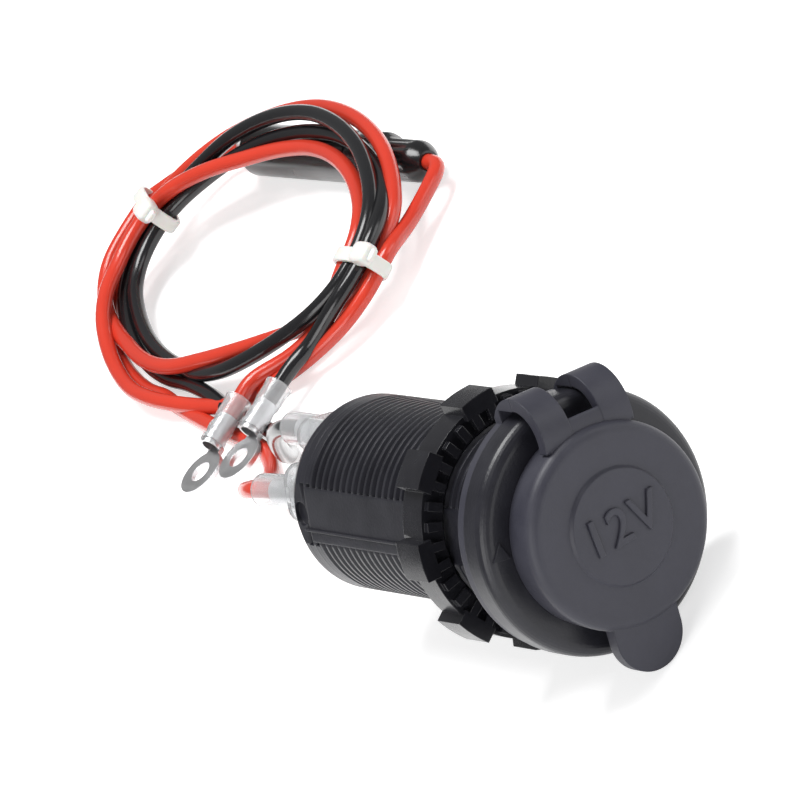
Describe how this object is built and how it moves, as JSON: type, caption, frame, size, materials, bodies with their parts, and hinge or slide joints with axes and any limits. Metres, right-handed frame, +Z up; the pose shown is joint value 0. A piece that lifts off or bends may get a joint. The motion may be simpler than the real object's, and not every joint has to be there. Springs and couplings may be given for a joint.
{
  "type": "car 12v power socket",
  "caption": "Ribbed panel socket with a lugged ring nut, a hinged rubber cap and bundled fused leads ending in ring terminals.",
  "frame": {"origin": "middle of the panel face, where the gasket meets the panel on the socket's axis", "axes": "the socket's axis lies along Y with the capped face towards -Y and the leads towards +Y; +Z is up as it lies on a surface"},
  "size_m": [0.0937, 0.2175, 0.041],
  "materials": {
    "housing_plastic": "satin moulded charcoal plastic",
    "cap_rubber": "matte moulded charcoal rubber",
    "nickel_plate": "nickel plated steel",
    "tin_plate": "tin plated copper, dull silver",
    "brass": "plain brass",
    "phenolic": "dark brown phenolic",
    "clear_vinyl": "clear soft vinyl",
    "red_insulation": "glossy red wire insulation",
    "black_insulation": "glossy black wire insulation",
    "hank_insulation": "red and black turns of insulated wire",
    "natural_nylon": "natural white nylon",
    "holder_plastic": "black moulded plastic",
    "fuse_glass": "clear glass with metal ferrules"
  },
  "bodies": {
    "socket": {"socket_housing": "housing_plastic", "contact_sleeve": "nickel_plate", "well_insulator": "phenolic", "centre_contact": "brass", "contact_rivet": "brass", "positive_blade": "nickel_plate", "negative_blade": "nickel_plate", "cap_gasket": "cap_rubber", "positive_connector": "nickel_plate", "negative_connector": "nickel_plate", "positive_boot": "clear_vinyl", "negative_boot": "clear_vinyl", "red_socket_lead": "red_insulation", "black_socket_lead": "black_insulation", "lead_hank": "hank_insulation", "red_supply_lead": "red_insulation", "black_supply_lead": "black_insulation", "red_ring_terminal": "tin_plate", "black_ring_terminal": "tin_plate", "red_ring_sleeve": "clear_vinyl", "black_ring_sleeve": "clear_vinyl", "cable_tie_far": "natural_nylon", "cable_tie_near": "natural_nylon", "red_fuse_lead_far": "red_insulation", "red_fuse_lead_near": "red_insulation", "fuse_holder_body": "holder_plastic", "glass_fuse": "fuse_glass", "fuse_spring": "tin_plate", "fuse_contact_far": "brass", "fuse_contact_near": "brass"},
    "nut": {"ring_nut": "housing_plastic"},
    "cap": {"cap": "cap_rubber"},
    "holder_cap": {"fuse_holder_cap": "holder_plastic"}
  },
  "joints": [
    {"name": "cap_hinge", "type": "hinge", "parent": "socket", "child": "cap", "pos_m": [0.01076, -0.0054, 0.01791], "axis": [-0.8572, 0, 0.515], "range_deg": [0, 120]},
    {"name": "nut_travel", "type": "slide", "parent": "socket", "child": "nut", "axis": [0, -1, 0], "range_m": [-0.038, 0.0095]},
    {"name": "fuse_cap_turn", "type": "hinge", "parent": "socket", "child": "holder_cap", "pos_m": [0.06985, 0.145, -0.015], "axis": [0, -1, 0], "range_deg": [0, 45]}
  ]
}
